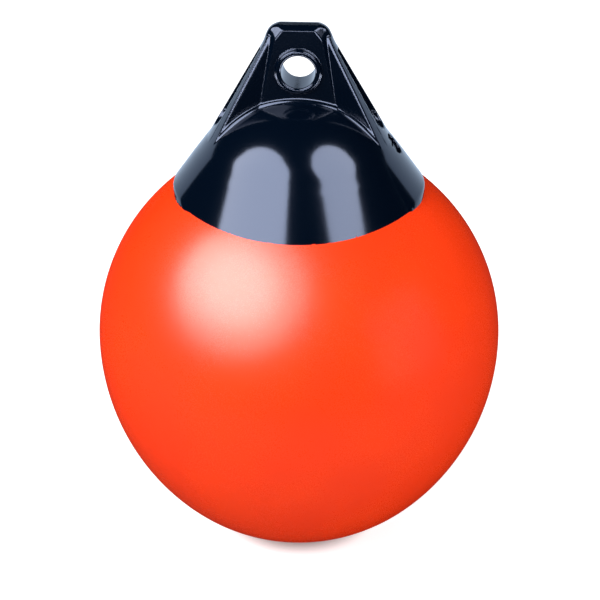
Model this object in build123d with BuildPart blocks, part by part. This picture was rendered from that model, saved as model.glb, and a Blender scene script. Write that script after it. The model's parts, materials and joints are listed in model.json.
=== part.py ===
import os
from math import atan2, cos, pi, radians, sin, tan

from build123d import *

os.makedirs("parts", exist_ok=True)

# Float: an egg-shaped vinyl skin, each half a side arc that runs into a pole arc
float_radius = 140.0
crown_share = 0.9907
base_share = 1.0921
side_fullness = 0.75
float_wall = 4.0
draft = 57.9
seat_gap = 0.3

# Cap dome: a square lip on the float, a straight flank and a round crown
rim_radius = 85.4
lip_height = 2.7
flank_angle = 54.0
crown_radius = 77.0

# Eye web envelope: heights are counted from the top of the dome
head_rise = 49.8
head_half_width = 18.9
head_corner = 5.0
shoulder_rise = 38.1
shoulder_half_width = 22.8
leg_spread = 0.565
foot_drop = 31.0
head_half_depth = 4.2
shoulder_half_depth = 5.2
leg_lean = 0.127

# Ridge along each leg, from a corner of the head down to the dome
ridge_top_rise = 42.8
ridge_top_x = 17.8
ridge_top_y = 5.4
ridge_root_drop = 25.6
ridge_root_x = 53.6
ridge_root_y = 21.2
crest_width = 2.1

# Pad that carries the eye between the ridges
pad_half_depth = 9.4
pad_lean = 0.05
pad_top_rise = 48.0
pad_top_half_width = 10.6
pad_corner_rise = 41.5
pad_corner_half_width = 15.7
pad_root_drop = 4.9
pad_root_half_width = 25.0
pad_bevel = 2.6

# Eye with its rounded collar
eye_rise = 20.4
eye_radius = 11.2
collar_radius = 15.7
collar_half_length = 11.2
collar_round = 2.2

# Channel with a round end in the outer face of each leg
channel_top_rise = 33.0
channel_end_drop = 12.4
channel_depth = 3.2
channel_rim = 2.4

# Inflation valve at the foot of the right leg, square to the flank
valve_step = 1.6
recess_radius = 7.6
recess_depth = 6.5
recess_clear = 12.0
sleeve_radius = 5.6
sleeve_tail = 2.0
sleeve_flange_radius = 7.0
sleeve_flange = 2.0
sleeve_bore = 3.2
fit_gap = 0.25
screw_head_radius = 5.0
screw_head = 2.4
screw_length = 12.0
slot_width = 1.6
slot_depth = 1.2
seal_thickness = 1.0


def half_profile(radius, rise, turn):
    """Middle of the side arc, the joint of both arcs and the middle of the pole arc."""
    side_radius = rise + side_fullness * (rise - radius)
    inset = side_radius - radius
    pole_radius = (side_radius**2 - inset**2 - rise**2) / (2 * (side_radius - rise))
    pole_z = rise - pole_radius
    lean = 1 if side_radius > pole_radius else -1
    angle = atan2(lean * pole_z, lean * inset)
    side_mid = (side_radius * cos(angle / 2) - inset, turn * side_radius * sin(angle / 2))
    joint = (side_radius * cos(angle) - inset, turn * side_radius * sin(angle))
    pole_angle = (angle + pi / 2) / 2
    pole_mid = (pole_radius * cos(pole_angle), turn * (pole_z + pole_radius * sin(pole_angle)))
    return side_mid, joint, pole_mid


def crown_arc(reach):
    """Centre and radius of the float's upper arc at a distance from the axis."""
    side_radius = float_crown_rise + side_fullness * (float_crown_rise - float_radius)
    inset = side_radius - float_radius
    pole_radius = (side_radius**2 - inset**2 - float_crown_rise**2) / (2 * (side_radius - float_crown_rise))
    if reach > half_profile(float_radius, float_crown_rise, 1)[1][0]:
        return -inset, 0, side_radius
    return 0, float_crown_rise - pole_radius, pole_radius


def plane_through(first, second, third, outside):
    """Plane through three points whose normal points toward the outside point."""
    start = Vector(*first)
    along = Vector(*second) - start
    normal = along.cross(Vector(*third) - start)
    if normal.dot(Vector(*outside) - start) < 0:
        normal = normal * -1
    return Plane(origin=start, x_dir=along, z_dir=normal)


# Heights in the part's frame, whose origin is on the axis at the water level
float_crown_rise = crown_share * float_radius
float_base_drop = base_share * float_radius
widest_z = float_base_drop - draft
front = Plane(origin=(0, 0, widest_z), x_dir=(1, 0, 0), z_dir=(0, -1, 0))
upright = Axis((0, 0, 0), (0, 0, 1))

# Dome heights, from the float's surface under the rim upward
rim_arc_r, rim_arc_z, rim_arc = crown_arc(rim_radius)
rim_seat = rim_arc_z + (rim_arc**2 - (rim_radius - rim_arc_r) ** 2) ** 0.5
lip_z = rim_seat + seat_gap + lip_height
flank_r = crown_radius * sin(radians(flank_angle))
flank_z = lip_z + (rim_radius - flank_r) * tan(radians(flank_angle))
apex_z = flank_z + crown_radius * (1 - cos(radians(flank_angle)))
crown_mid = (
    crown_radius * sin(radians(flank_angle / 2)),
    apex_z - crown_radius * (1 - cos(radians(flank_angle / 2))),
)
top_z = widest_z + apex_z
crown_front = Plane(origin=(0, 0, top_z), x_dir=(1, 0, 0), z_dir=(0, -1, 0))
crown_side_view = Plane(origin=(0, 0, top_z), x_dir=(0, 1, 0), z_dir=(1, 0, 0))

# Valve axis, square to the flank
valve_r = flank_r + valve_step * cos(radians(flank_angle))
valve_z = flank_z - valve_step * sin(radians(flank_angle))
valve_out = (sin(radians(flank_angle)), 0, cos(radians(flank_angle)))
valve_face = Plane(origin=(valve_r, 0, widest_z + valve_z), x_dir=(0, 1, 0), z_dir=valve_out)
seat_face = valve_face.offset(-recess_depth)
valve_arc_r, valve_arc_z, valve_arc = crown_arc(valve_r)
valve_along = (valve_r - valve_arc_r) * valve_out[0] + (valve_z - valve_arc_z) * valve_out[2]
valve_across = (valve_r - valve_arc_r) * valve_out[2] - (valve_z - valve_arc_z) * valve_out[0]
valve_reach = valve_along - (valve_arc**2 - valve_across**2) ** 0.5
sleeve_length = valve_reach - recess_depth + float_wall + sleeve_tail

# Float body
wall_radius = float_radius - float_wall
wall_crown = float_crown_rise - float_wall
wall_base = float_base_drop - float_wall
outer_crown = half_profile(float_radius, float_crown_rise, 1)
outer_base = half_profile(float_radius, float_base_drop, -1)
inner_crown = half_profile(wall_radius, wall_crown, 1)
inner_base = half_profile(wall_radius, wall_base, -1)
with BuildPart() as float_body:
    with BuildSketch(front) as float_section:
        with BuildLine() as float_line:
            ThreePointArc((float_radius, 0), outer_crown[0], outer_crown[1])
            ThreePointArc(outer_crown[1], outer_crown[2], (0, float_crown_rise))
            Line((0, float_crown_rise), (0, wall_crown))
            ThreePointArc((0, wall_crown), inner_crown[2], inner_crown[1])
            ThreePointArc(inner_crown[1], inner_crown[0], (wall_radius, 0))
            ThreePointArc((wall_radius, 0), inner_base[0], inner_base[1])
            ThreePointArc(inner_base[1], inner_base[2], (0, -wall_base))
            Line((0, -wall_base), (0, -float_base_drop))
            ThreePointArc((0, -float_base_drop), outer_base[2], outer_base[1])
            ThreePointArc(outer_base[1], outer_base[0], (float_radius, 0))
        make_face()
    revolve(axis=upright)
    with BuildSketch(seat_face) as float_hole:
        Circle(sleeve_radius + fit_gap)
    extrude(amount=-2 * sleeve_length, mode=Mode.SUBTRACT)

# Envelope of the eye web, turned about the axis
foot_half_width = shoulder_half_width + leg_spread * (shoulder_rise + foot_drop)
foot_half_depth = shoulder_half_depth + leg_lean * (shoulder_rise + foot_drop)
with BuildPart() as web_envelope:
    with BuildSketch(crown_front) as envelope:
        with BuildLine() as envelope_line:
            Polyline(
                (0, -foot_drop),
                (foot_half_width, -foot_drop),
                (shoulder_half_width, shoulder_rise),
                (head_half_width, head_rise),
                (0, head_rise),
                close=True,
            )
        make_face()
        fillet(envelope.vertices().group_by(Axis.Y)[-1].sort_by(Axis.X)[-1], head_corner)
    revolve(axis=upright)

# Eye web plate: a wedge of the envelope that grows deeper toward the feet
with BuildPart() as eye_plate:
    add(web_envelope.part)
    with BuildSketch(crown_side_view) as plate_wedge:
        Polygon(
            (-foot_half_depth, -foot_drop),
            (foot_half_depth, -foot_drop),
            (shoulder_half_depth, shoulder_rise),
            (head_half_depth, head_rise),
            (-head_half_depth, head_rise),
            (-shoulder_half_depth, shoulder_rise),
            align=None,
        )
    extrude(amount=2 * rim_radius, both=True, mode=Mode.INTERSECT)

# Points of the right front quarter of the web, mirrored for the rest
pad_slope = pad_half_depth + pad_lean * eye_rise
ridge_top = (ridge_top_x, -ridge_top_y, top_z + ridge_top_rise)
ridge_root = (ridge_root_x, -ridge_root_y, top_z - ridge_root_drop)
crest_top = (ridge_top_x + crest_width, -ridge_top_y, top_z + ridge_top_rise)
crest_root = (ridge_root_x + crest_width, -ridge_root_y, top_z - ridge_root_drop)
pad_root_y = pad_slope + pad_lean * pad_root_drop
pad_root = (pad_root_half_width, -pad_root_y, top_z - pad_root_drop)
pad_corner_y = pad_slope - pad_lean * pad_corner_rise
pad_corner = (pad_corner_half_width, -pad_corner_y, top_z + pad_corner_rise)
pad_top_y = pad_slope - pad_lean * pad_top_rise
pad_top = (pad_top_half_width, -pad_top_y, top_z + pad_top_rise)
edge_top_r = shoulder_half_width
edge_top = ((edge_top_r**2 - shoulder_half_depth**2) ** 0.5, -shoulder_half_depth, top_z + shoulder_rise)
edge_root = ((foot_half_width**2 - foot_half_depth**2) ** 0.5, -foot_half_depth, top_z - foot_drop)
far_front = (0, -2 * rim_radius, top_z)
far_right = (2 * rim_radius, -2 * rim_radius, top_z)

# Ridge of the right leg, front half: inner facet, crest and outer slope within the envelope
facet = plane_through(ridge_top, ridge_root, pad_root, far_front)
crest = plane_through(ridge_top, ridge_root, crest_root, far_front)
slope = plane_through(crest_root, edge_top, edge_root, far_right)
ridge_floor = -foot_drop
with BuildPart() as leg_ridge:
    with BuildSketch(crown_front) as ridge_block:
        Polygon(
            (0, ridge_floor),
            (foot_half_width, ridge_floor),
            (foot_half_width, ridge_top_rise),
            (0, ridge_top_rise),
            align=None,
        )
    extrude(amount=foot_half_depth + ridge_root_y)
    split(bisect_by=facet, keep=Keep.BOTTOM)
    split(bisect_by=crest, keep=Keep.BOTTOM)
    split(bisect_by=slope, keep=Keep.BOTTOM)
    add(web_envelope.part, mode=Mode.INTERSECT)

# Eye pad, front half: front face, side bevels, corner bevels and top bevel
pad_face = plane_through(pad_root, pad_corner, (-pad_root[0], pad_root[1], pad_root[2]), far_front)
side_bevel = plane_through(pad_root, pad_corner, ridge_top, far_right)
corner_out = (
    pad_corner[0] + pad_bevel,
    -shoulder_half_depth,
    pad_corner[2] + pad_bevel * (pad_corner[0] - pad_top[0]) / (pad_top[2] - pad_corner[2]),
)
corner_bevel = plane_through(pad_top, pad_corner, corner_out, (far_right[0], 0, 2 * top_z))
top_bevel = plane_through(
    pad_top,
    (-pad_top[0], pad_top[1], pad_top[2]),
    (0, -head_half_depth, top_z + head_rise),
    (0, 0, 2 * top_z),
)
with BuildPart() as eye_pad:
    with BuildSketch(crown_front) as pad_block:
        Polygon(
            (-foot_half_width, ridge_floor),
            (foot_half_width, ridge_floor),
            (foot_half_width, head_rise),
            (-foot_half_width, head_rise),
            align=None,
        )
    extrude(amount=foot_half_depth + ridge_root_y)
    split(bisect_by=pad_face, keep=Keep.BOTTOM)
    split(bisect_by=top_bevel, keep=Keep.BOTTOM)
    split(bisect_by=side_bevel, keep=Keep.BOTTOM)
    split(bisect_by=corner_bevel, keep=Keep.BOTTOM)
    mirror(about=Plane.YZ, mode=Mode.INTERSECT)

# Cutter for the leg channels: a skin of the envelope with a round lower end
channel_top_y = shoulder_half_depth + leg_lean * (shoulder_rise - channel_top_rise) - channel_rim
channel_end_y = shoulder_half_depth + leg_lean * (shoulder_rise + channel_end_drop) - channel_rim
channel_high_x = shoulder_half_width + leg_spread * (shoulder_rise - channel_top_rise)
channel_low_x = shoulder_half_width + leg_spread * (shoulder_rise + channel_end_drop + channel_end_y)
with BuildPart() as leg_channels:
    with BuildSketch(crown_front) as channel_section:
        Polygon(
            (channel_high_x - channel_depth, channel_top_rise),
            (channel_high_x + foot_half_width, channel_top_rise),
            (channel_low_x + foot_half_width, -channel_end_drop - channel_end_y),
            (channel_low_x - channel_depth, -channel_end_drop - channel_end_y),
            align=None,
        )
    revolve(axis=upright)
    with BuildSketch(crown_side_view) as channel_outline:
        with BuildLine() as channel_line:
            Line((-channel_end_y, -channel_end_drop), (-channel_top_y, channel_top_rise))
            Line((-channel_top_y, channel_top_rise), (channel_top_y, channel_top_rise))
            Line((channel_top_y, channel_top_rise), (channel_end_y, -channel_end_drop))
            ThreePointArc(
                (channel_end_y, -channel_end_drop),
                (0, -channel_end_drop - channel_end_y),
                (-channel_end_y, -channel_end_drop),
            )
        make_face()
    extrude(amount=2 * rim_radius, both=True, mode=Mode.INTERSECT)

# Seat of the cap on the float and the ring of the collar
seat_radius = float_radius + seat_gap
seat_rise = float_crown_rise + seat_gap
seat_crown = half_profile(seat_radius, seat_rise, 1)
collar_mid_radius = (eye_radius + collar_radius) / 2
eye_face = Plane(origin=(0, 0, top_z + eye_rise), x_dir=(1, 0, 0), z_dir=(0, -1, 0))
eye_axis = Axis((0, 0, top_z + eye_rise), (0, 1, 0))
collar_plane = Plane(
    origin=(0, 0, top_z + eye_rise + collar_mid_radius), x_dir=(0, 1, 0), z_dir=(1, 0, 0)
)

# Rope-hold cap: dome over the float, eye web, collar, channels and valve recess
with BuildPart() as rope_hold_cap:
    with BuildSketch(front) as dome_section:
        with BuildLine() as dome_line:
            ThreePointArc((0, apex_z), crown_mid, (flank_r, flank_z))
            Line((flank_r, flank_z), (rim_radius, lip_z))
            Line((rim_radius, lip_z), (rim_radius, 0))
            Line((rim_radius, 0), (0, 0))
            Line((0, 0), (0, apex_z))
        make_face()
    revolve(axis=upright)
    add(eye_plate.part)
    for ridge in (leg_ridge.part, leg_ridge.part.mirror(Plane.YZ)):
        add(ridge)
        add(ridge.mirror(Plane.XZ))
    add(eye_pad.part)
    add(eye_pad.part.mirror(Plane.XZ))
    with BuildSketch(eye_face) as collar_hole:
        Circle(collar_mid_radius)
    extrude(amount=2 * rim_radius, both=True, mode=Mode.SUBTRACT)
    with BuildSketch(collar_plane) as collar_section:
        Rectangle(2 * collar_half_length, collar_radius - eye_radius)
        fillet(collar_section.vertices(), collar_round)
    revolve(axis=eye_axis)
    add(leg_channels.part, mode=Mode.SUBTRACT)
    with BuildSketch(front) as seat_section:
        with BuildLine() as seat_line:
            ThreePointArc((seat_radius, 0), seat_crown[0], seat_crown[1])
            ThreePointArc(seat_crown[1], seat_crown[2], (0, seat_rise))
            Line((0, seat_rise), (0, -seat_gap))
            Line((0, -seat_gap), (seat_radius, -seat_gap))
            Line((seat_radius, -seat_gap), (seat_radius, 0))
        make_face()
    revolve(axis=upright, mode=Mode.SUBTRACT)
    with BuildSketch(seat_face) as recess_outline:
        Circle(recess_radius)
    extrude(amount=recess_depth + recess_clear, mode=Mode.SUBTRACT)
    with BuildSketch(seat_face) as sleeve_hole:
        Circle(sleeve_radius + fit_gap)
    extrude(amount=-2 * sleeve_length, mode=Mode.SUBTRACT)

# Valve sleeve: flange on the recess floor, tube down through the float wall
with BuildPart() as valve_sleeve:
    with BuildSketch(seat_face) as flange_section:
        Circle(sleeve_flange_radius)
    extrude(amount=sleeve_flange)
    with BuildSketch(seat_face) as tube_section:
        Circle(sleeve_radius)
    extrude(amount=-sleeve_length)
    with BuildSketch(seat_face.offset(sleeve_flange)) as tube_bore:
        Circle(sleeve_bore)
    extrude(amount=-2 * sleeve_length, mode=Mode.SUBTRACT)

# Seal ring under the screw head
seal_face = seat_face.offset(sleeve_flange)
with BuildPart() as valve_seal:
    with BuildSketch(seal_face) as seal_section:
        Circle(screw_head_radius)
        Circle(sleeve_bore, mode=Mode.SUBTRACT)
    extrude(amount=seal_thickness)

# Valve screw with a coin slot
head_face = seal_face.offset(seal_thickness)
with BuildPart() as valve_screw:
    with BuildSketch(head_face) as screw_head_section:
        Circle(screw_head_radius)
    extrude(amount=screw_head)
    with BuildSketch(head_face) as shank_section:
        Circle(sleeve_bore - fit_gap)
    extrude(amount=-screw_length)
    with BuildSketch(head_face.offset(screw_head)) as slot_section:
        Rectangle(3 * screw_head_radius, slot_width)
    extrude(amount=-slot_depth, mode=Mode.SUBTRACT)

float_body.part.label = "float_body"
rope_hold_cap.part.label = "rope_hold_cap"
valve_sleeve.part.label = "valve_sleeve"
valve_seal.part.label = "valve_seal"
valve_screw.part.label = "valve_screw"

export_step(float_body.part, "parts/float_body.step")
export_step(rope_hold_cap.part, "parts/rope_hold_cap.step")
export_step(valve_sleeve.part, "parts/valve_sleeve.step")
export_step(valve_seal.part, "parts/valve_seal.step")
export_step(valve_screw.part, "parts/valve_screw.step")
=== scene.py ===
import json
import math

import bpy
import numpy as np
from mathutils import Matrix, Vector


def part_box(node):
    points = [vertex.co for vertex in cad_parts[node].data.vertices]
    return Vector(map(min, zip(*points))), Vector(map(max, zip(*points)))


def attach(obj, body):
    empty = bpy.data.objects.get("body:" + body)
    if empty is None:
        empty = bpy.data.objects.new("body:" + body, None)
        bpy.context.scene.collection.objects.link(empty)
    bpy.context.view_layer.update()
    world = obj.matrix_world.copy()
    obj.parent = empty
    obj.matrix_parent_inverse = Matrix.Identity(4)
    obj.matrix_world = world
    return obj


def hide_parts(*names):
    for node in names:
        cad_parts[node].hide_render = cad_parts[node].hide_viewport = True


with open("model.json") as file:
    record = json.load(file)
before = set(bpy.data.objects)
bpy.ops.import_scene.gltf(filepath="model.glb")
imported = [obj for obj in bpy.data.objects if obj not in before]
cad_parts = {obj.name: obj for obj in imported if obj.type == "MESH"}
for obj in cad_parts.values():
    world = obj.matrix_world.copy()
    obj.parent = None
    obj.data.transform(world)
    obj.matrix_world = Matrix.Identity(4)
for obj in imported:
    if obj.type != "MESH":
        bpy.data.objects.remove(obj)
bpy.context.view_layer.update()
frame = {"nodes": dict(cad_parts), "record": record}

bl_info = {
    "name": "Mooring buoy dressing",
    "version": (1, 0, 0),
    "blender": (4, 5, 0),
    "location": "View3D > Sidebar > Buoy",
    "description": "Builds the vinyl float, the moulded rope-hold cap and the valve of a mooring buoy",
    "category": "Object",
}

MM = 0.001
FLOAT_LOW, FLOAT_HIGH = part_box("float_body")
CAP_LOW, CAP_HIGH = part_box("rope_hold_cap")
ROPE_EYE = next(m for m in frame["record"]["mounts"] if m["name"] == "rope_eye")
EYE_Z = ROPE_EYE["pos_m"][2]
EYE_RADIUS = ROPE_EYE["dims"]["r_mm"] * MM
VINYL_IOR = 1.45


def length(name, description, default, **extra):
    """A length property in metres."""
    return bpy.props.FloatProperty(
        name=name, description=description, default=default, unit="LENGTH", precision=4, **extra
    )


def factor(name, description, default, low=0.0, high=1.0):
    """A plain number between two limits."""
    return bpy.props.FloatProperty(name=name, description=description, default=default, min=low, max=high)


def colour(name, description, default):
    """A linear colour."""
    return bpy.props.FloatVectorProperty(
        name=name, description=description, default=default, size=3, min=0.0, max=1.0, subtype="COLOR"
    )


def angle(name, description, degrees):
    """An angle, given in degrees and kept in radians."""
    return bpy.props.FloatProperty(
        name=name, description=description, default=math.radians(degrees), subtype="ANGLE"
    )


class BuoyFloatProps(bpy.types.PropertyGroup):
    """Sizes and finish of the float."""

    radius: length("Radius", "Half width of the float", (FLOAT_HIGH[0] - FLOAT_LOW[0]) / 2)
    base_drop: length("Base drop", "Depth below the widest section", 0.152894)
    crown_rise: length("Crown rise", "Height above the widest section", 0.138698)
    fullness: factor("Fullness", "How full the sides are against the poles", 0.75)
    rings: bpy.props.IntProperty(name="Rings", description="Rows from pole to pole", default=176, min=24)
    turns: bpy.props.IntProperty(name="Turns", description="Columns round the axis", default=224, min=24)
    orange: colour("Orange", "Vinyl of the float", (0.90, 0.041, 0.0010))
    orange_deep: colour("Deep orange", "Thinner pigment in the vinyl", (0.86, 0.035, 0.0007))


class BuoyCapProps(bpy.types.PropertyGroup):
    """Sizes and finish of the rope-hold cap."""

    cell: length("Cell", "Spacing of the sampling grid", 0.0008)
    edge: length("Edge", "Rounding of the moulded edges", 0.0006)
    arch: length("Arch", "Rounding between web and dome", 0.0034)
    rim_radius: length("Rim radius", "Radius of the rim on the float", 0.0854)
    crown_radius: length("Crown radius", "Radius of the round crown", 0.077)
    flank: angle("Flank", "Slope of the straight flank", 54.0)
    navy: colour("Navy", "Vinyl of the cap", (0.0005, 0.0024, 0.0070))
    navy_light: colour("Light navy", "Worn or dusty vinyl", (0.003, 0.007, 0.015))


class BuoyStageProps(bpy.types.PropertyGroup):
    """Camera and light."""

    azimuth: angle("Azimuth", "Camera direction round the buoy", 3.0)
    elevation: angle("Elevation", "Camera height above the horizon", 28.0)
    distance: length("Distance", "Camera distance from its aim", 1.26)
    lens: bpy.props.FloatProperty(name="Lens", description="Focal length in millimetres", default=108.1)
    aim_z: length("Aim height", "Height that the camera looks at", 0.1188)
    aim_side: length("Aim side", "How far the camera looks past the axis", 0.0007)
    fill: factor("Fill", "Even light from all round", 0.5, 0.0, 10.0)
    key: factor("Key", "Power of the left softbox in watts", 42.0, 0.0, 1000.0)
    side: factor("Side", "Power of the right softbox in watts", 40.0, 0.0, 1000.0)
    strip: factor("Strip", "Power of the low front strip in watts", 31.0, 0.0, 1000.0)
    card: factor("Card", "Power of the card behind in watts", 4.7, 0.0, 1000.0)
    sheen: factor("Sheen", "Power of the highlight on the float in watts", 18.0, 0.0, 1000.0)
    blob: factor("Blob", "Power of the left highlight on the cap in watts", 48.0, 0.0, 1000.0)
    table: factor("Table", "Radiance of the bright table in the gloss of the cap", 19.0, 0.0, 1000.0)
    bounce: factor("Bounce", "Power of the soft light on the right in watts", 16.0, 0.0, 1000.0)


# Mesh helpers


def put_mesh(name, points, faces, normals=None):
    """New object from an (n, 3) array in metres and an (m, 4) array of corners."""
    mesh = bpy.data.meshes.new(name)
    mesh.vertices.add(len(points))
    mesh.vertices.foreach_set("co", np.ascontiguousarray(points, dtype=np.float32).ravel())
    corners = np.ascontiguousarray(faces, dtype=np.int32)
    mesh.loops.add(corners.size)
    mesh.loops.foreach_set("vertex_index", corners.ravel())
    mesh.polygons.add(len(corners))
    starts = np.arange(0, corners.size, corners.shape[1], dtype=np.int32)
    mesh.polygons.foreach_set("loop_start", starts)
    mesh.update(calc_edges=True)
    mesh.validate()
    mesh.shade_smooth()
    if normals is not None:
        mesh.normals_split_custom_set_from_vertices(normals)
    piece = bpy.data.objects.new(name, mesh)
    bpy.context.collection.objects.link(piece)
    return piece


def turned(radius, height, count):
    """Surface of revolution: point (i, j) is (r_i cos t_j, r_i sin t_j, z_i), closed round the axis.

    The first and last rows lie on the axis and become poles."""
    turn = np.linspace(0.0, 2.0 * np.pi, count, endpoint=False)
    inner_r, inner_z = radius[1:-1, None], height[1:-1, None]
    rows = len(inner_r)
    grid = np.stack(
        np.broadcast_arrays(inner_r * np.cos(turn), inner_r * np.sin(turn), inner_z), axis=-1
    ).reshape(-1, 3)
    poles = np.array([[0.0, 0.0, height[0]], [0.0, 0.0, height[-1]]])
    points = np.concatenate([grid, poles])
    row, col = np.meshgrid(np.arange(rows - 1), np.arange(count), indexing="ij")
    after = (col + 1) % count
    quads = np.stack(
        [row * count + col, row * count + after, (row + 1) * count + after, (row + 1) * count + col], axis=-1
    ).reshape(-1, 4)
    ring = np.arange(count)
    following = (ring + 1) % count
    first = np.stack([following, ring, np.full(count, rows * count)], axis=-1)
    last_row = (rows - 1) * count
    last = np.stack([last_row + ring, last_row + following, np.full(count, rows * count + 1)], axis=-1)
    return points, quads, np.concatenate([first, last])


def put_turned(name, radius, height, count):
    """New turned object with quads between its rows and triangles at its poles."""
    points, quads, fans = turned(radius, height, count)
    mesh = bpy.data.meshes.new(name)
    mesh.from_pydata(points.tolist(), [], quads.tolist() + fans.tolist())
    mesh.validate()
    mesh.shade_smooth()
    piece = bpy.data.objects.new(name, mesh)
    bpy.context.collection.objects.link(piece)
    return piece


# Node helpers


def link(tree, source, target):
    """Joins two sockets."""
    tree.links.new(source, target)


def feed(tree, value, target):
    """Gives a socket the value of another socket, or a number."""
    if isinstance(value, bpy.types.NodeSocket):
        link(tree, value, target)
    else:
        target.default_value = value


def math_node(tree, operation, first, second):
    """A Math node; its inputs are sockets or numbers."""
    node = tree.nodes.new("ShaderNodeMath")
    node.operation = operation
    feed(tree, first, node.inputs[0])
    feed(tree, second, node.inputs[1])
    return node.outputs[0]


def noise_node(tree, vector, scale, detail, roughness):
    """A noise texture's value; the scale is a socket or a number."""
    node = tree.nodes.new("ShaderNodeTexNoise")
    feed(tree, scale, node.inputs["Scale"])
    node.inputs["Detail"].default_value = detail
    node.inputs["Roughness"].default_value = roughness
    link(tree, vector, node.inputs["Vector"])
    return node.outputs["Fac"]


def ramp_node(tree, value, low, high, start=0.0, end=1.0):
    """Maps a value smoothly from one range to another."""
    node = tree.nodes.new("ShaderNodeMapRange")
    node.interpolation_type = "SMOOTHSTEP"
    node.inputs["From Min"].default_value = low
    node.inputs["From Max"].default_value = high
    node.inputs["To Min"].default_value = start
    node.inputs["To Max"].default_value = end
    link(tree, value, node.inputs["Value"])
    return node.outputs["Result"]


def mix_colour(tree, mask, first, second):
    """Mixes two colours by a mask socket."""
    node = tree.nodes.new("ShaderNodeMix")
    node.data_type = "RGBA"
    link(tree, mask, node.inputs["Factor"])
    for name, value in (("A", first), ("B", second)):
        socket = next(s for s in node.inputs if s.name == name and s.type == "RGBA")
        if isinstance(value, bpy.types.NodeSocket):
            link(tree, value, socket)
        else:
            socket.default_value = (*value, 1.0)
    return next(s for s in node.outputs if s.type == "RGBA")


def vinyl_group():
    """Moulded vinyl: soft flow clouds, a fine pebble, and sparse scuffs, as masks and a height."""
    name = "moulded_vinyl"
    if name in bpy.data.node_groups:
        return bpy.data.node_groups[name]
    group = bpy.data.node_groups.new(name, "ShaderNodeTree")
    sockets = group.interface
    for label, default in (("Pebble Scale", 900.0), ("Flow Scale", 14.0), ("Scuff Scale", 55.0)):
        socket = sockets.new_socket(label, in_out="INPUT", socket_type="NodeSocketFloat")
        socket.default_value = default
    for label in ("Flow", "Pebble", "Scuff", "Roughness"):
        sockets.new_socket(label, in_out="OUTPUT", socket_type="NodeSocketFloat")
    start = group.nodes.new("NodeGroupInput")
    end = group.nodes.new("NodeGroupOutput")
    place = group.nodes.new("ShaderNodeTexCoord").outputs["Object"]
    flow = noise_node(group, place, start.outputs["Flow Scale"], detail=3.0, roughness=0.55)
    pebble = noise_node(group, place, start.outputs["Pebble Scale"], detail=2.0, roughness=0.5)
    stretch = group.nodes.new("ShaderNodeMapping")
    stretch.inputs["Scale"].default_value = (1.0, 0.25, 3.0)
    stretch.inputs["Rotation"].default_value = (0.4, 0.7, 0.2)
    link(group, place, stretch.inputs["Vector"])
    scratch_place, scratch_scale = stretch.outputs["Vector"], start.outputs["Scuff Scale"]
    scratch = noise_node(group, scratch_place, scratch_scale, detail=6.0, roughness=0.7)
    scuff = ramp_node(group, scratch, low=0.66, high=0.80)
    flow_part = math_node(group, "MULTIPLY", flow, 0.6)
    pebble_part = math_node(group, "MULTIPLY", pebble, 0.4)
    roughness = math_node(group, "ADD", flow_part, pebble_part)
    for label, value in (("Flow", flow), ("Pebble", pebble), ("Scuff", scuff), ("Roughness", roughness)):
        link(group, value, end.inputs[label])
    return group


def new_material(name):
    """Empty material with a Principled shader."""
    material = bpy.data.materials.new(name)
    material.use_nodes = True
    tree = material.node_tree
    shader = next(n for n in tree.nodes if n.type == "BSDF_PRINCIPLED")
    return material, tree, shader


def bump_to(tree, shader, height, strength, distance):
    """Bump from a height into the shader's normal."""
    bump = tree.nodes.new("ShaderNodeBump")
    bump.inputs["Strength"].default_value = strength
    bump.inputs["Distance"].default_value = distance
    link(tree, height, bump.inputs["Height"])
    link(tree, bump.outputs["Normal"], shader.inputs["Normal"])


def place_vinyl(tree, pebble, flow, scuff):
    """The shared vinyl group with its scales."""
    node = tree.nodes.new("ShaderNodeGroup")
    node.node_tree = vinyl_group()
    for label, value in (("Pebble Scale", pebble), ("Flow Scale", flow), ("Scuff Scale", scuff)):
        node.inputs[label].default_value = value
    return node.outputs


def float_material(props):
    """Satin orange vinyl with a fine pebble and soft clouds of pigment."""
    material, tree, shader = new_material("float_vinyl")
    vinyl = place_vinyl(tree, pebble=1500.0, flow=16.0, scuff=40.0)
    tint = ramp_node(tree, vinyl["Flow"], low=0.35, high=0.65)
    link(tree, mix_colour(tree, tint, props.orange, props.orange_deep), shader.inputs["Base Color"])
    rough = ramp_node(tree, vinyl["Roughness"], low=0.3, high=0.7, start=0.26, end=0.29)
    link(tree, rough, shader.inputs["Roughness"])
    shader.inputs["IOR"].default_value = VINYL_IOR
    bump_to(tree, shader, vinyl["Pebble"], strength=0.06, distance=0.0006)
    return material


def cap_material(props):
    """Glossy navy vinyl with faint scuffs and a nearly smooth skin."""
    material, tree, shader = new_material("cap_vinyl")
    vinyl = place_vinyl(tree, pebble=700.0, flow=22.0, scuff=60.0)
    worn = math_node(tree, "MULTIPLY", vinyl["Scuff"], 0.35)
    link(tree, mix_colour(tree, worn, props.navy, props.navy_light), shader.inputs["Base Color"])
    smooth = ramp_node(tree, vinyl["Roughness"], low=0.3, high=0.7, start=0.10, end=0.13)
    rough = math_node(tree, "ADD", smooth, math_node(tree, "MULTIPLY", worn, 0.25))
    link(tree, rough, shader.inputs["Roughness"])
    shader.inputs["IOR"].default_value = VINYL_IOR
    shader.inputs["Specular Tint"].default_value = (0.60, 0.70, 1.0, 1.0)
    bump_to(tree, shader, vinyl["Pebble"], strength=0.02, distance=0.0004)
    return material


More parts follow.
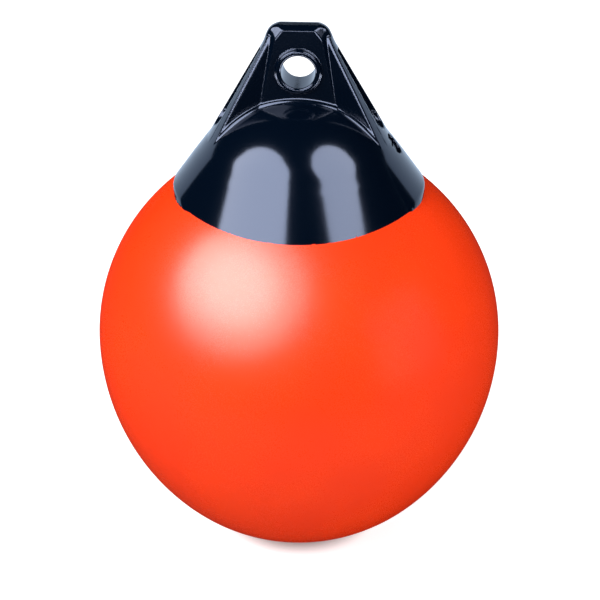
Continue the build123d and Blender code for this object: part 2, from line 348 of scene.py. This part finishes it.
def valve_material():
    """Dark moulded plastic with a fine grain."""
    material, tree, shader = new_material("valve_plastic")
    vinyl = place_vinyl(tree, pebble=2200.0, flow=90.0, scuff=160.0)
    tone = ramp_node(tree, vinyl["Flow"], low=0.3, high=0.7)
    base = mix_colour(tree, tone, (0.014, 0.022, 0.036), (0.020, 0.030, 0.048))
    link(tree, base, shader.inputs["Base Color"])
    rough = ramp_node(tree, vinyl["Roughness"], low=0.3, high=0.7, start=0.22, end=0.34)
    link(tree, rough, shader.inputs["Roughness"])
    bump_to(tree, shader, vinyl["Pebble"], strength=0.05, distance=0.0002)
    return material


def seal_material():
    """Black rubber with a dull grain."""
    material, tree, shader = new_material("seal_rubber")
    vinyl = place_vinyl(tree, pebble=2600.0, flow=120.0, scuff=200.0)
    tone = ramp_node(tree, vinyl["Flow"], low=0.3, high=0.7)
    base = mix_colour(tree, tone, (0.010, 0.010, 0.011), (0.018, 0.018, 0.019))
    link(tree, base, shader.inputs["Base Color"])
    rough = ramp_node(tree, vinyl["Roughness"], low=0.3, high=0.7, start=0.6, end=0.75)
    link(tree, rough, shader.inputs["Roughness"])
    bump_to(tree, shader, vinyl["Pebble"], strength=0.1, distance=0.0002)
    return material


def dress(piece, material):
    """Gives a piece one material."""
    piece.data.materials.clear()
    piece.data.materials.append(material)


# Float


def egg_half(radius, rise, fullness):
    """Centres and radii of the side arc and the pole arc, and the angle where they join."""
    side = rise + fullness * (rise - radius)
    inset = side - radius
    pole = (side**2 - inset**2 - rise**2) / (2.0 * (side - rise))
    pole_z = rise - pole
    lean = 1.0 if side > pole else -1.0
    joint = math.atan2(lean * pole_z, lean * inset)
    return side, inset, pole, pole_z, joint


def egg_profile(radius, rise, fullness, share):
    """Profile of one half: share 0 is the widest section and share 1 the pole, by turning angle."""
    side, inset, pole, pole_z, joint = egg_half(radius, rise, fullness)
    turn = share * np.pi / 2.0
    low = turn <= joint
    r = np.where(low, side * np.cos(turn) - inset, pole * np.cos(turn))
    z = np.where(low, side * np.sin(turn), pole_z + pole * np.sin(turn))
    return r, z


def widest_height():
    """Height of the float's widest section in the part's frame."""
    return FLOAT_HIGH[2] - bpy.context.scene.buoy_float.crown_rise


class BUOY_OT_float_skin(bpy.types.Operator):
    """Inflated float: two egg halves turned about the axis"""

    bl_idname = "buoy.float_skin"
    bl_label = "Float skin"

    def execute(self, context):
        props = context.scene.buoy_float
        half = props.rings // 2
        share = np.linspace(0.0, 1.0, half + 1)
        low_r, low_z = egg_profile(props.radius, props.base_drop, props.fullness, share)
        high_r, high_z = egg_profile(props.radius, props.crown_rise, props.fullness, share)
        radius = np.concatenate([low_r[::-1], high_r[1:]])
        height = np.concatenate([-low_z[::-1], high_z[1:]]) + widest_height()
        skin = put_turned("float_skin", radius, height, props.turns)
        dress(skin, float_material(props))
        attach(skin, "root")
        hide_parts("float_body")
        return {"FINISHED"}


# Cap field


def soft_max(first, second, width):
    """Larger of two fields, with the edge where they cross rounded over a width w.

    Near the crossing it is max(a, b) + (w - |a - b|)^2 / 4w."""
    blend = np.maximum(width - np.abs(first - second), 0.0) / width
    return np.maximum(first, second) + blend * blend * width * 0.25


def soft_min(first, second, width):
    """Smaller of two fields, with the valley where they cross filled over a width."""
    return -soft_max(-first, -second, width)


def plane_field(first, second, third, outside):
    """Signed distance to the plane through three points, positive toward the outside point."""
    start = np.array(first, dtype=float)
    normal = np.cross(np.array(second) - start, np.array(third) - start)
    normal = normal / np.linalg.norm(normal)
    if normal @ (np.array(outside) - start) < 0.0:
        normal = -normal
    offset = float(normal @ start)
    a, b, c = (float(v) for v in normal)
    return lambda x, y, z: a * x + b * y + c * z - offset


class CapField:
    """Signed field of the rope-hold cap in millimetres, negative inside.

    Dome, plate, leg ridges and eye pad are half spaces joined by rounded maxima and minima."""

    crown_fade = 13.0
    valve_step = 1.6
    head_rise, head_half_width, head_corner = 49.8, 18.9, 3.5
    shoulder_rise, shoulder_half_width = 38.1, 22.8
    leg_spread, foot_drop = 0.565, 31.0
    head_half_depth, shoulder_half_depth, leg_lean = 4.2, 5.2, 0.127
    ridge_top = (17.8, -5.4, 42.8)
    ridge_root = (53.6, -21.2, -25.6)
    crest_width, crest_end = 3.4, 0.5
    pad_half_depth, pad_lean = 9.4, 0.05
    pad_top = (10.6, 48.0)
    pad_corner = (15.7, 41.5)
    pad_root = (25.0, -4.9)
    pad_bevel = 2.6
    collar_radius, collar_half_length, collar_round = 15.0, 12.0, 1.2
    channel_top, channel_end, channel_depth, channel_rim = 33.0, 12.4, 3.2, 2.4
    recess_radius, recess_depth = 7.6, 6.5
    seat_gap, lip_height, seat_bite = 0.3, 2.7, 0.6
    rim_wave = (-0.4, -1.2, 0.8, 0.2)
    flank_swell, rim_thin, rim_turn = 1.4, 2.2, math.radians(3.0)
    lip_lean = math.radians(12.0)

    # Fading of the lip: it is gone where lip_fade sin^2 t reaches 1, at t = 30 degrees
    lip_fade, lean_gain, lip_round = 4.0, 3.0, 0.7
    bury_from, bury_span, bury_depth = 0.80, 0.20, 6.0

    # Flank: share of the rim's wave that it follows, its hinge, and the reach of its swell
    rim_follow, hinge_round = 0.448, 0.02
    swell_start, swell_length = 20.0, 32.0

    # Roundings of the web, the channels, the collar and the recess
    shoulder_round, channel_round, collar_fill, recess_round = 0.8, 1.0, 0.6, 0.7
    head_soft, head_soft_rise, head_soft_run = 3.0, 36.0, 8.0
    arch_foot, arch_start, arch_run = 0.3, 2.0, 14.0

    # Sleeve hole, and how far the seat is sunk into the float near the rim
    sleeve_hole = 5.85
    rim_bite, bite_reach, bite_run, seat_round = 1.8, 14.0, 8.0, 0.5

    # A distance beyond the part, for points that only tell a side
    far = 400.0

    def __init__(self, shell, cap):
        self.edge = cap.edge / MM
        self.arch = cap.arch / MM
        self.rim = cap.rim_radius / MM
        self.crown = cap.crown_radius / MM
        self.flank = cap.flank
        self.widest = widest_height() / MM
        rise, radius = shell.crown_rise / MM, shell.radius / MM
        _, _, self.seat_radius, seat_z, _ = egg_half(radius, rise, shell.fullness)
        self.seat_z = self.widest + seat_z
        rim_seat = self.seat_z + math.sqrt(self.seat_radius**2 - self.rim**2)
        self.lip_z = rim_seat + self.seat_gap + self.lip_height
        self.flank_r = self.crown * math.sin(self.flank)
        self.flank_z = self.lip_z + (self.rim - self.flank_r) * math.tan(self.flank)
        self.apex = self.flank_z + self.crown * (1.0 - math.cos(self.flank))
        self.eye_rise = EYE_Z / MM - self.apex
        self.eye_radius = EYE_RADIUS / MM
        self.valve = (
            self.flank_r + self.valve_step * math.cos(self.flank),
            self.flank_z - self.valve_step * math.sin(self.flank),
        )
        self.planes()

    def planes(self):
        """Faces of the leg ridge and the eye pad in the right front quarter, from their corner points."""
        front = (0.0, -self.far, 0.0)
        right = (self.far, -self.far, 0.0)
        above = (0.0, 0.0, 2.0 * self.far)
        foot_r = self.shoulder_half_width + self.leg_spread * (self.shoulder_rise + self.foot_drop)
        foot_y = self.shoulder_half_depth + self.leg_lean * (self.shoulder_rise + self.foot_drop)
        edge_root = (math.sqrt(foot_r**2 - foot_y**2), -foot_y, -self.foot_drop)
        base = self.pad_half_depth + self.pad_lean * self.eye_rise
        root = (self.pad_root[0], -(base - self.pad_lean * self.pad_root[1]), self.pad_root[1])
        corner = (self.pad_corner[0], -(base - self.pad_lean * self.pad_corner[1]), self.pad_corner[1])
        top = (self.pad_top[0], -(base - self.pad_lean * self.pad_top[1]), self.pad_top[1])
        crest_top = (self.ridge_top[0] + self.crest_width, self.ridge_top[1], self.ridge_top[2])
        crest_root = (self.ridge_root[0] + self.crest_end, self.ridge_root[1], self.ridge_root[2])
        self.facet = plane_field(self.ridge_top, self.ridge_root, root, front)
        self.crest = plane_field(self.ridge_top, self.ridge_root, crest_root, front)
        self.slope = plane_field(crest_top, crest_root, edge_root, right)
        self.pad_face = plane_field(root, corner, (-root[0], root[1], root[2]), front)
        self.side_bevel = plane_field(root, corner, self.ridge_top, right)
        lift = self.pad_bevel * (corner[0] - top[0]) / (top[2] - corner[2])
        corner_out = (corner[0] + self.pad_bevel, -self.shoulder_half_depth, corner[2] + lift)
        self.corner_bevel = plane_field(top, corner, corner_out, (self.far, 0.0, 2.0 * self.far))
        self.top_bevel = plane_field(
            top, (-top[0], top[1], top[2]), (0.0, -self.head_half_depth, self.head_rise), above
        )

    def dome(self, x, y, z):
        """Round crown, straight flank and lip round the axis, with t counted from rim_turn past the legs.

        The rim is R + w with w = sum a_k cos 2kt. The flank uses the distance
        n = r - s + (thin (d + s) - f w) low, where s is the swell toward the legs, d the depth by which the
        flank moves in where the lip has faded, f the share of the wave that it follows, and low grows from
        0 above the flank to 1 at the lip. Crown and flank are ball + (cone - ball) share, with a smooth step
        across their joint. The wall of the lip leans where the lip fades. Past that it lies outside, so that
        the flank runs on into the float and ends in a thin edge."""
        r, turn = np.hypot(x, y), np.arctan2(y, x) - self.rim_turn
        wave = sum(a * np.cos(2.0 * k * turn) for k, a in enumerate(self.rim_wave))
        rim = self.rim + wave
        centre = self.apex - self.crown
        low = (self.flank_z - z) / (self.flank_z - self.lip_z)
        low = (low + np.sqrt(low * low + self.hinge_round)) / 2.0
        down = np.clip((self.flank_z + self.swell_start - z) / self.swell_length, 0.0, 1.0)
        swell = self.flank_swell * np.cos(turn) ** 2 * down * down * (3.0 - 2.0 * down)
        thin = np.clip(self.lip_fade * np.sin(turn) ** 2, 0.0, 1.0)
        near = r - swell + (thin * (self.rim_thin + swell) - self.rim_follow * wave) * low
        ball = np.hypot(near, z - centre) - self.crown
        cone = (near - self.flank_r) * math.sin(self.flank) + (z - self.flank_z) * math.cos(self.flank)
        slide = near * math.cos(self.flank) - (z - centre) * math.sin(self.flank)
        share = np.clip(0.5 + slide / (2.0 * self.crown_fade), 0.0, 1.0)
        share = share * share * (3.0 - 2.0 * share)
        shell = ball + (cone - ball) * share
        buried = self.bury_depth * np.clip((thin - self.bury_from) / self.bury_span, 0.0, 1.0)
        lean = self.lip_lean * np.clip(self.lean_gain * thin, 0.0, 1.0)
        wall = (r - rim - buried) * np.cos(lean) - (self.lip_z - z) * np.sin(lean)
        return soft_max(shell, wall, self.lip_round)

    def web(self, x, y, z):
        """Plate, ridges and pad; x and y are taken as the right front quarter."""
        edge = self.edge
        ax, ay = np.abs(x), -np.abs(y)
        r = np.hypot(x, y)
        rise = z - self.apex
        tilt = math.hypot(1.0, self.leg_spread)
        leg = ((r - self.shoulder_half_width) + (rise - self.shoulder_rise) * self.leg_spread) / tilt
        run = (self.shoulder_half_width - self.head_half_width) / (self.head_rise - self.shoulder_rise)
        head = ((r - self.shoulder_half_width) + (rise - self.shoulder_rise) * run) / math.hypot(1.0, run)
        sides = soft_min(leg, head, self.shoulder_round)
        outline = soft_max(sides, rise - self.head_rise, 2.0 * self.head_corner)
        lean = (self.shoulder_half_depth - self.head_half_depth) / (self.head_rise - self.shoulder_rise)
        low = -ay - self.shoulder_half_depth + (rise - self.shoulder_rise) * self.leg_lean
        high = -ay - self.shoulder_half_depth + (rise - self.shoulder_rise) * lean
        thick = edge + self.head_soft * np.clip((rise - self.head_soft_rise) / self.head_soft_run, 0.0, 1.0)
        plate = soft_max(outline, np.minimum(low, high), thick)
        facet, crest, slope = self.facet(ax, ay, rise), self.crest(ax, ay, rise), self.slope(ax, ay, rise)
        ridge = soft_max(soft_max(facet, crest, edge), slope, edge)
        ridge = soft_max(np.maximum(ridge, rise - self.ridge_top[2]), outline, edge)
        pad = soft_max(self.pad_face(ax, ay, rise), self.side_bevel(ax, ay, rise), edge)
        pad = soft_max(pad, self.corner_bevel(ax, ay, rise), edge)
        pad = soft_max(pad, self.top_bevel(ax, ay, rise), edge)
        pad = soft_max(pad, outline, edge)
        web = soft_min(soft_min(plate, ridge, edge), pad, edge)
        web = np.maximum(web, rise - self.head_rise)
        return np.maximum(web, -rise - self.foot_drop), leg, rise

    def channel(self, y, leg, rise):
        """Shallow channel with a round lower end in the outer face of each leg."""
        ay = np.abs(y)
        end_depth = self.leg_lean * (self.shoulder_rise + self.channel_end)
        end_y = self.shoulder_half_depth + end_depth - self.channel_rim
        sides = ay - end_y + (rise + self.channel_end) * self.leg_lean
        end = np.hypot(y, rise + self.channel_end) - end_y
        outline = np.where(rise > -self.channel_end, sides, end)
        outline = np.maximum(outline, rise - self.channel_top)
        return np.maximum(outline, -(leg + self.channel_depth))

    def __call__(self, x, y, z):
        """Web and dome joined by the arch, with the collar added and the eye, valve and seat cut."""
        r = np.hypot(x, y)
        web, leg, rise = self.web(x, y, z)
        web = soft_max(web, -self.channel(y, leg, rise), self.channel_round)
        up = np.clip((rise + self.foot_drop - self.arch_start) / self.arch_run, 0.0, 1.0)
        arch = self.arch_foot + (self.arch - self.arch_foot) * up
        cap = soft_min(web, self.dome(x, y, z), arch)
        eye = np.hypot(x, rise - self.eye_rise)
        middle = (self.collar_radius + self.eye_radius) / 2.0
        half = (self.collar_radius - self.eye_radius) / 2.0 - self.collar_round
        long = self.collar_half_length - self.collar_round
        over_r, over_y = np.abs(eye - middle) - half, np.abs(y) - long
        collar = (
            np.hypot(np.maximum(over_r, 0.0), np.maximum(over_y, 0.0))
            + np.minimum(np.maximum(over_r, over_y), 0.0)
            - self.collar_round
        )
        cap = soft_min(np.maximum(cap, middle - eye), collar, self.collar_fill)
        cap = np.maximum(cap, self.eye_radius - eye)
        out_x, out_z = math.sin(self.flank), math.cos(self.flank)
        along = (x - self.valve[0]) * out_x + (z - self.valve[1]) * out_z
        across = np.hypot((x - self.valve[0]) * out_z - (z - self.valve[1]) * out_x, y)
        recess = np.maximum(across - self.recess_radius, -(along + self.recess_depth))
        bore = np.maximum(across - self.sleeve_hole, along)
        cap = soft_max(cap, -np.minimum(recess, bore), self.recess_round)
        outer = np.clip((r - self.rim + self.bite_reach) / self.bite_run, 0.0, 1.0)
        bite = self.seat_bite + self.rim_bite * outer
        seat = self.seat_radius - bite - np.hypot(r, z - self.seat_z)
        return soft_max(cap, seat, self.seat_round)


def graded(low, high, first, last, fine, coarse):
    """Coordinates from low to high, spaced finely between first and last and coarsely outside."""
    inner = np.arange(first, last + fine / 2.0, fine)
    before = np.arange(first - coarse, low - coarse, -coarse)[::-1]
    after = np.arange(inner[-1] + coarse, high + coarse, coarse)
    return np.concatenate([before, inner, after])


def surface_net(field, axes, cell, passes=4, least_slope=0.25):
    """Closed surface of a field: one point in each cell that the surface crosses, one quad per crossed edge.

    Points start at the mean of the cell's edge crossings, then slide along the gradient onto the surface."""
    gx, gy, gz = np.meshgrid(*axes, indexing="ij", sparse=True)
    value = field(gx, gy, gz)
    inside = value < 0.0
    shape = np.array(value.shape) - 1
    total = np.zeros((*shape, 3), dtype=np.float32)
    count = np.zeros(shape, dtype=np.int16)
    for axis in range(3):
        others = [a for a in range(3) if a != axis]
        for shift_a in (0, 1):
            for shift_b in (0, 1):
                window = [slice(None)] * 3
                window[others[0]] = slice(shift_a, shape[others[0]] + shift_a)
                window[others[1]] = slice(shift_b, shape[others[1]] + shift_b)
                first, second = list(window), list(window)
                first[axis], second[axis] = slice(0, shape[axis]), slice(1, shape[axis] + 1)
                f0, f1 = value[tuple(first)], value[tuple(second)]
                crossed = (f0 < 0.0) != (f1 < 0.0)
                gap = np.where(crossed, f0 - f1, 1.0)
                part = np.where(crossed, f0 / gap, 0.0)
                total[..., axis] += part
                total[..., others[0]] += np.where(crossed, shift_a, 0)
                total[..., others[1]] += np.where(crossed, shift_b, 0)
                count += crossed
    active = count > 0
    number = np.full(shape, -1, dtype=np.int64)
    number[active] = np.arange(active.sum())
    corner = np.argwhere(active)
    part = total[active] / count[active][:, None]
    points = np.stack([a[i] + f * np.diff(a)[i] for a, i, f in zip(axes, corner.T, part.T)], axis=-1)
    quads = []
    for axis in range(3):
        b, c = (axis + 1) % 3, (axis + 2) % 3
        window = [slice(1, -1)] * 3
        window[axis] = slice(0, shape[axis])
        after = list(window)
        after[axis] = slice(1, shape[axis] + 1)
        f0, f1 = inside[tuple(window)], inside[tuple(after)]
        for flip, mask in ((False, f0 & ~f1), (True, ~f0 & f1)):
            edge = np.argwhere(mask)
            edge[:, b] += 1
            edge[:, c] += 1
            ring = []
            for db, dc in ((-1, -1), (0, -1), (0, 0), (-1, 0)):
                cell_index = edge.copy()
                cell_index[:, b] += db
                cell_index[:, c] += dc
                ring.append(number[tuple(cell_index.T)])
            if flip:
                ring.reverse()
            quads.append(np.stack(ring, axis=-1))
    quads = np.concatenate(quads)
    longest = 0.5 * cell
    for _ in range(passes):
        distance, slope = field_slope(field, points)
        step = distance / np.maximum((slope**2).sum(axis=1), least_slope)
        step = np.clip(step, -longest, longest)
        points -= slope * step[:, None]
    _, slope = field_slope(field, points)
    normals = slope / np.linalg.norm(slope, axis=1)[:, None]
    return points, quads, normals


def field_slope(field, points, reach=0.02):
    """Value of a field at points and its gradient by central differences."""
    x, y, z = points.T
    slope = np.stack(
        [
            field(x + reach, y, z) - field(x - reach, y, z),
            field(x, y + reach, z) - field(x, y - reach, z),
            field(x, y, z + reach) - field(x, y, z - reach),
        ],
        axis=-1,
    ) / (2.0 * reach)
    return field(x, y, z), slope


class BUOY_OT_rope_cap(bpy.types.Operator):
    """Rope-hold cap: one moulded skin over dome, web, eye collar, channels and valve recess"""

    bl_idname = "buoy.rope_cap"
    bl_label = "Rope-hold cap"

    # Grid: margins round the solid, the finely sampled block round the web, and spacings in cells
    margin, top_margin = 8.0, 2.0
    web_half_width, web_half_depth, web_drop = 68.0, 24.0, 42.0
    coarse, fine_depth, coarse_depth = 2.0, 1.25, 2.75

    def execute(self, context):
        props = context.scene.buoy_cap
        field = CapField(context.scene.buoy_float, props)
        cell = props.cell / MM
        low = np.array(CAP_LOW) / MM - self.margin
        high = np.array(CAP_HIGH) / MM + (self.margin, self.margin, self.top_margin)
        wide, deep = self.web_half_width, self.web_half_depth
        axes = (
            graded(low[0], high[0], -wide, wide, cell, self.coarse * cell),
            graded(low[1], high[1], -deep, deep, self.fine_depth * cell, self.coarse_depth * cell),
            graded(low[2], high[2], field.apex - self.web_drop, high[2], cell, self.coarse * cell),
        )
        points, quads, normals = surface_net(field, axes, cell)
        skin = put_mesh("cap_skin", points * MM, quads, normals)
        dress(skin, cap_material(props))
        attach(skin, "root")
        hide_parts("rope_hold_cap")
        return {"FINISHED"}


class BUOY_OT_valve(bpy.types.Operator):
    """Valve: finish of the sleeve, the seal ring and the screw"""

    bl_idname = "buoy.valve"
    bl_label = "Valve"

    def execute(self, context):
        plastic, rubber = valve_material(), seal_material()
        for name, material in (("valve_sleeve", plastic), ("valve_screw", plastic), ("valve_seal", rubber)):
            dress(frame["nodes"][name], material)
        return {"FINISHED"}


# Stage


def aim(item, target):
    """Turns a lamp or camera toward a point."""
    item.rotation_euler = (Vector(target) - item.location).to_track_quat("-Z", "Y").to_euler()


def softbox(name, place, target, size, power, shape="RECTANGLE", tint=(1.0, 1.0, 1.0)):
    """Area lamp turned toward a point."""
    lamp = bpy.data.lights.new(name, "AREA")
    lamp.shape = shape
    lamp.size, lamp.size_y = size
    lamp.energy = power
    lamp.color = tint
    item = bpy.data.objects.new(name, lamp)
    item.location = place
    item.visible_camera = False
    bpy.context.collection.objects.link(item)
    aim(item, target)
    return item


def light_only(lamps, name, pieces):
    """Lets some lamps show in the gloss of some pieces only."""
    lit = bpy.data.collections.new(name)
    for piece in pieces:
        lit.objects.link(bpy.data.objects[piece])
    for lamp in lamps:
        lamp.light_linking.receiver_collection = lit
        lamp.visible_diffuse = False


def stage_material():
    """Pale paper that is nearly black in gloss; the camera also sees a glow in it that grows away from the
    object, so that only the contact shadow stays dark."""
    material, tree, shader = new_material("stage_paper")
    out = next(n for n in tree.nodes if n.type == "OUTPUT_MATERIAL")
    path = tree.nodes.new("ShaderNodeLightPath")
    glow = tree.nodes.new("ShaderNodeEmission")
    place = tree.nodes.new("ShaderNodeTexCoord").outputs["Object"]
    away = tree.nodes.new("ShaderNodeVectorMath")
    away.operation = "LENGTH"
    link(tree, place, away.inputs[0])
    level = ramp_node(tree, away.outputs["Value"], low=0.070, high=0.084, start=0.14, end=0.80)
    link(tree, math_node(tree, "MULTIPLY", path.outputs["Is Camera Ray"], level), glow.inputs["Strength"])
    cloud = noise_node(tree, place, scale=30.0, detail=4.0, roughness=0.5)
    grain = ramp_node(tree, cloud, low=0.3, high=0.7)
    paper = mix_colour(tree, grain, (0.60, 0.60, 0.60), (0.63, 0.63, 0.63))
    tone = mix_colour(tree, path.outputs["Is Glossy Ray"], paper, (0.02, 0.02, 0.02))
    link(tree, tone, shader.inputs["Base Color"])
    shader.inputs["Roughness"].default_value = 0.9
    shader.inputs["Specular IOR Level"].default_value = 0.0
    both = tree.nodes.new("ShaderNodeAddShader")
    link(tree, shader.outputs["BSDF"], both.inputs[0])
    link(tree, glow.outputs["Emission"], both.inputs[1])
    link(tree, both.outputs["Shader"], out.inputs["Surface"])
    return material


def studio_world(props):
    """White to the camera, an even fill on the object, and a dark room in its gloss."""
    world = bpy.data.worlds.new("studio")
    world.use_nodes = True
    tree = world.node_tree
    back = next(n for n in tree.nodes if n.type == "BACKGROUND")
    back.inputs["Color"].default_value = (1.0, 1.0, 1.0, 1.0)
    path = tree.nodes.new("ShaderNodeLightPath")
    link(tree, math_node(tree, "MAXIMUM", path.outputs["Is Camera Ray"], props.fill), back.inputs["Strength"])
    return world


def stage_floor():
    """Flat sheet of paper under the float, which reaches farther behind it than in front."""
    half_width, front, back, cells = 2.0, -0.5, 3.5, 8
    row_length = cells + 1
    across, deep = np.linspace(-half_width, half_width, row_length), np.linspace(front, back, row_length)
    gx, gy = np.meshgrid(across, deep, indexing="ij")
    points = np.stack([gx, gy, np.full_like(gx, FLOAT_LOW[2])], axis=-1).reshape(-1, 3)
    row, col = np.meshgrid(np.arange(cells), np.arange(cells), indexing="ij")
    first = row * row_length + col
    corners = [first, first + row_length, first + row_length + 1, first + 1]
    return put_mesh("stage_floor", points, np.stack(corners, axis=-1).reshape(-1, 4))


def stage_lamps(props):
    """Softboxes, strip, card and table; most of them show only in the gloss of the cap or the float."""
    centre = (0.0, 0.0, 0.2)
    large, table_z, above = (1.9, 1.4), -0.05, 1.0
    softbox("softbox_left", (-0.90, -0.72, 1.25), centre, large, props.key, "ELLIPSE")
    sheen = [
        softbox(name, place, centre, size, share * props.sheen, "ELLIPSE")
        for name, place, size, share in (
            ("softbox_sheen", (-0.84, -0.80, 1.27), (1.2, 1.0), 1.0),
            ("softbox_sheen_wide", (-0.86, -0.88, 1.33), (2.7, 2.3), 5.8),
        )
    ]
    blob = softbox("softbox_blob", (-0.94, -0.75, 1.31), centre, large, props.blob, "ELLIPSE")
    side = softbox("softbox_right", (0.84, -0.52, 1.35), centre, (1.15, 1.2), props.side, "ELLIPSE")
    strip = softbox("strip_front", (0.0, -2.0, 0.25), (0.0, 0.0, 0.27), (1.7, 0.36), props.strip)
    card_z, pale_blue = 0.225, (0.62, 0.78, 1.0)
    card = softbox(
        "card_back", (0.0, 0.55, card_z), (0.0, 0.0, card_z), (2.2, 0.55), props.card, tint=pale_blue
    )
    bounce = softbox("bounce_right", (1.5, -0.7, 0.45), centre, (1.2, 1.2), props.bounce)
    bounce.visible_glossy = False
    table = [
        softbox(name, (x, y, table_z), (x, y, above), size, props.table * math.pi * size[0] * size[1])
        for name, x, y, size in (
            ("table_front", 0.0, -0.37, (1.1, 0.18)),
            ("table_left", -0.62, -0.25, (0.3, 0.5)),
            ("table_right", 0.62, -0.25, (0.3, 0.5)),
        )
    ]
    light_only((side, strip, card, blob, *table), "cap_lit", ("cap_skin", "valve_screw", "valve_sleeve"))
    light_only(sheen, "float_lit", ("float_skin",))


def stage_camera(props):
    """Camera at a distance, azimuth and elevation from its aim."""
    lens = bpy.data.cameras.new("camera")
    lens.lens = props.lens
    lens.sensor_width = 36.0
    lens.sensor_fit = "HORIZONTAL"
    lens.clip_end = 50.0
    camera = bpy.data.objects.new("camera", lens)
    bpy.context.collection.objects.link(camera)
    across = Vector((math.cos(props.azimuth), math.sin(props.azimuth), 0.0))
    target = Vector((0.0, 0.0, props.aim_z)) + across * props.aim_side
    level = props.distance * math.cos(props.elevation)
    camera.location = target + Vector(
        (
            level * math.sin(props.azimuth),
            -level * math.cos(props.azimuth),
            props.distance * math.sin(props.elevation),
        )
    )
    aim(camera, target)
    return camera


class BUOY_OT_stage(bpy.types.Operator):
    """Floor, softboxes, world and camera"""

    bl_idname = "buoy.stage"
    bl_label = "Stage"

    def execute(self, context):
        props = context.scene.buoy_stage
        floor = stage_floor()
        dress(floor, stage_material())
        context.scene.world = studio_world(props)
        context.scene.world.cycles_visibility.glossy = False
        stage_lamps(props)
        context.scene.camera = stage_camera(props)
        context.scene.view_settings.view_transform = "Standard"
        return {"FINISHED"}


class BUOY_PT_panel(bpy.types.Panel):
    """Lists the buoy's pieces"""

    bl_idname = "BUOY_PT_panel"
    bl_label = "Mooring buoy"
    bl_space_type = "VIEW_3D"
    bl_region_type = "UI"
    bl_category = "Buoy"

    def draw(self, context):
        for props, operators in (
            (context.scene.buoy_float, ("buoy.float_skin",)),
            (context.scene.buoy_cap, ("buoy.rope_cap", "buoy.valve")),
            (context.scene.buoy_stage, ("buoy.stage",)),
        ):
            box = self.layout.box()
            for name in props.__annotations__:
                box.prop(props, name)
            for operator in operators:
                box.operator(operator)


GROUPS = (
    ("buoy_float", BuoyFloatProps),
    ("buoy_cap", BuoyCapProps),
    ("buoy_stage", BuoyStageProps),
)
OPERATORS = (BUOY_OT_float_skin, BUOY_OT_rope_cap, BUOY_OT_valve, BUOY_OT_stage)


def register():
    for name, group in GROUPS:
        bpy.utils.register_class(group)
        setattr(bpy.types.Scene, name, bpy.props.PointerProperty(type=group))
    for item in (*OPERATORS, BUOY_PT_panel):
        bpy.utils.register_class(item)


def unregister():
    for item in (BUOY_PT_panel, *reversed(OPERATORS)):
        bpy.utils.unregister_class(item)
    for name, group in reversed(GROUPS):
        delattr(bpy.types.Scene, name)
        bpy.utils.unregister_class(group)


def main():
    register()
    bpy.ops.buoy.float_skin()
    bpy.ops.buoy.rope_cap()
    bpy.ops.buoy.valve()
    bpy.ops.buoy.stage()


if __name__ == "__main__":
    main()
